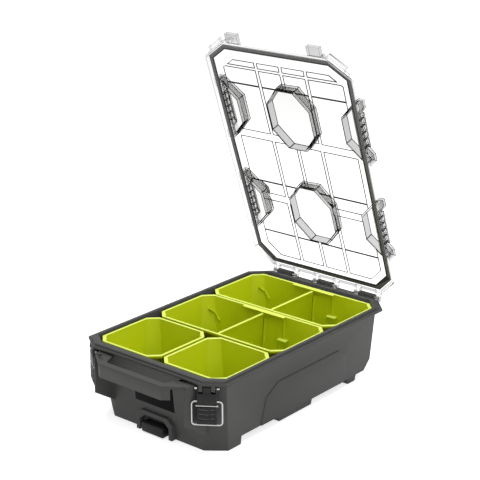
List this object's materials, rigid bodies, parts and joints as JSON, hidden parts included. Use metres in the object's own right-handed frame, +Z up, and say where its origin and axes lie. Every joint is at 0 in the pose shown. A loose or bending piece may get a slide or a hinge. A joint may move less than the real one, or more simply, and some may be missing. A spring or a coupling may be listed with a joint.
{
  "type": "parts organizer box",
  "caption": "Tub-shaped organizer with lift-out open bins, a hinged clear sealed lid, corner wire latches, carry handle and sprung release button.",
  "frame": {"origin": "middle of the face, on the floor, of the flat spine between the two stacking sockets, under the centre of the bins", "axes": "+Z up, -Y towards the carry handle, +Y towards the lid's hinge, +X across to the right"},
  "size_m": [0.252, 0.415, 0.4806],
  "materials": {
    "tub_plastic": "satin moulded charcoal",
    "label_plastic": "plain black",
    "latch_plastic": "fine moulded black",
    "spring_steel": "drawn wire",
    "lid_clear": "clear polycarbonate",
    "seal_rubber": "soft black",
    "pin_steel": "turned steel",
    "bail_steel": "bright wire",
    "bin_plastic": "satin moulded lime green"
  },
  "bodies": {
    "base": {"base_tub": "tub_plastic", "label_plate": "label_plastic", "release_spring_left": "spring_steel", "release_spring_right": "spring_steel", "hinge_pin_left": "pin_steel", "hinge_pin_middle": "pin_steel", "hinge_pin_right": "pin_steel", "latch_pin_left": "pin_steel", "latch_pin_right": "pin_steel"},
    "lid": {"lid_shell": "lid_clear", "lid_seal": "seal_rubber"},
    "lever_left": {"latch_lever_left": "latch_plastic", "latch_cross_pin_left": "pin_steel"},
    "lever_right": {"latch_lever_right": "latch_plastic", "latch_cross_pin_right": "pin_steel"},
    "bail_left": {"latch_bail_left": "bail_steel"},
    "bail_right": {"latch_bail_right": "bail_steel"},
    "button": {"release_button": "latch_plastic"},
    "bin_small_left": {"small_bin_left": "bin_plastic"},
    "bin_small_right": {"small_bin_right": "bin_plastic"},
    "bin_wide_middle": {"wide_bin_middle": "bin_plastic"},
    "bin_wide_rear": {"wide_bin_rear": "bin_plastic"},
    "divider_middle_body": {"divider_middle": "bin_plastic"},
    "divider_rear_body": {"divider_rear": "bin_plastic"}
  },
  "joints": [
    {"name": "lid_hinge", "type": "hinge", "parent": "base", "child": "lid", "pos_m": [0, 0.1922, 0.1034], "axis": [-1, 0, 0], "range_deg": [-70.2, 35]},
    {"name": "latch_lever_left_pivot", "type": "hinge", "parent": "base", "child": "lever_left", "pos_m": [-0.09811, -0.18094, 0.0965], "axis": [-0.8192, 0.5736, 0], "range_deg": [0, 95]},
    {"name": "latch_lever_right_pivot", "type": "hinge", "parent": "base", "child": "lever_right", "pos_m": [0.09811, -0.18094, 0.0965], "axis": [-0.8192, -0.5736, 0], "range_deg": [0, 95]},
    {"name": "latch_bail_left_pivot", "type": "hinge", "parent": "lever_left", "child": "bail_left", "pos_m": [-0.09926, -0.18257, 0.08], "axis": [0.8192, -0.5736, 0], "range_deg": [-172.5, 0]},
    {"name": "latch_bail_right_pivot", "type": "hinge", "parent": "lever_right", "child": "bail_right", "pos_m": [0.09926, -0.18257, 0.08], "axis": [0.8192, 0.5736, 0], "range_deg": [-172.5, 0]},
    {"name": "release_button_push", "type": "slide", "parent": "base", "child": "button", "axis": [0, 1, 0], "range_m": [0, 0.006], "stiffness_N_per_m": 400, "deforming": ["release_spring_left", "release_spring_right"]},
    {"name": "small_bin_left_lift", "type": "slide", "parent": "base", "child": "bin_small_left", "axis": [0, 0, 1], "range_m": [0, 0.1]},
    {"name": "small_bin_right_lift", "type": "slide", "parent": "base", "child": "bin_small_right", "axis": [0, 0, 1], "range_m": [0, 0.1]},
    {"name": "wide_bin_middle_lift", "type": "slide", "parent": "base", "child": "bin_wide_middle", "axis": [0, 0, 1], "range_m": [0, 0.1]},
    {"name": "wide_bin_rear_lift", "type": "slide", "parent": "base", "child": "bin_wide_rear", "axis": [0, 0, 1], "range_m": [0, 0.045]},
    {"name": "divider_middle_lift", "type": "slide", "parent": "bin_wide_middle", "child": "divider_middle_body", "axis": [0, 0, 1], "range_m": [0, 0.088]},
    {"name": "divider_rear_lift", "type": "slide", "parent": "bin_wide_rear", "child": "divider_rear_body", "axis": [0, 0, 1], "range_m": [0, 0.07]}
  ]
}
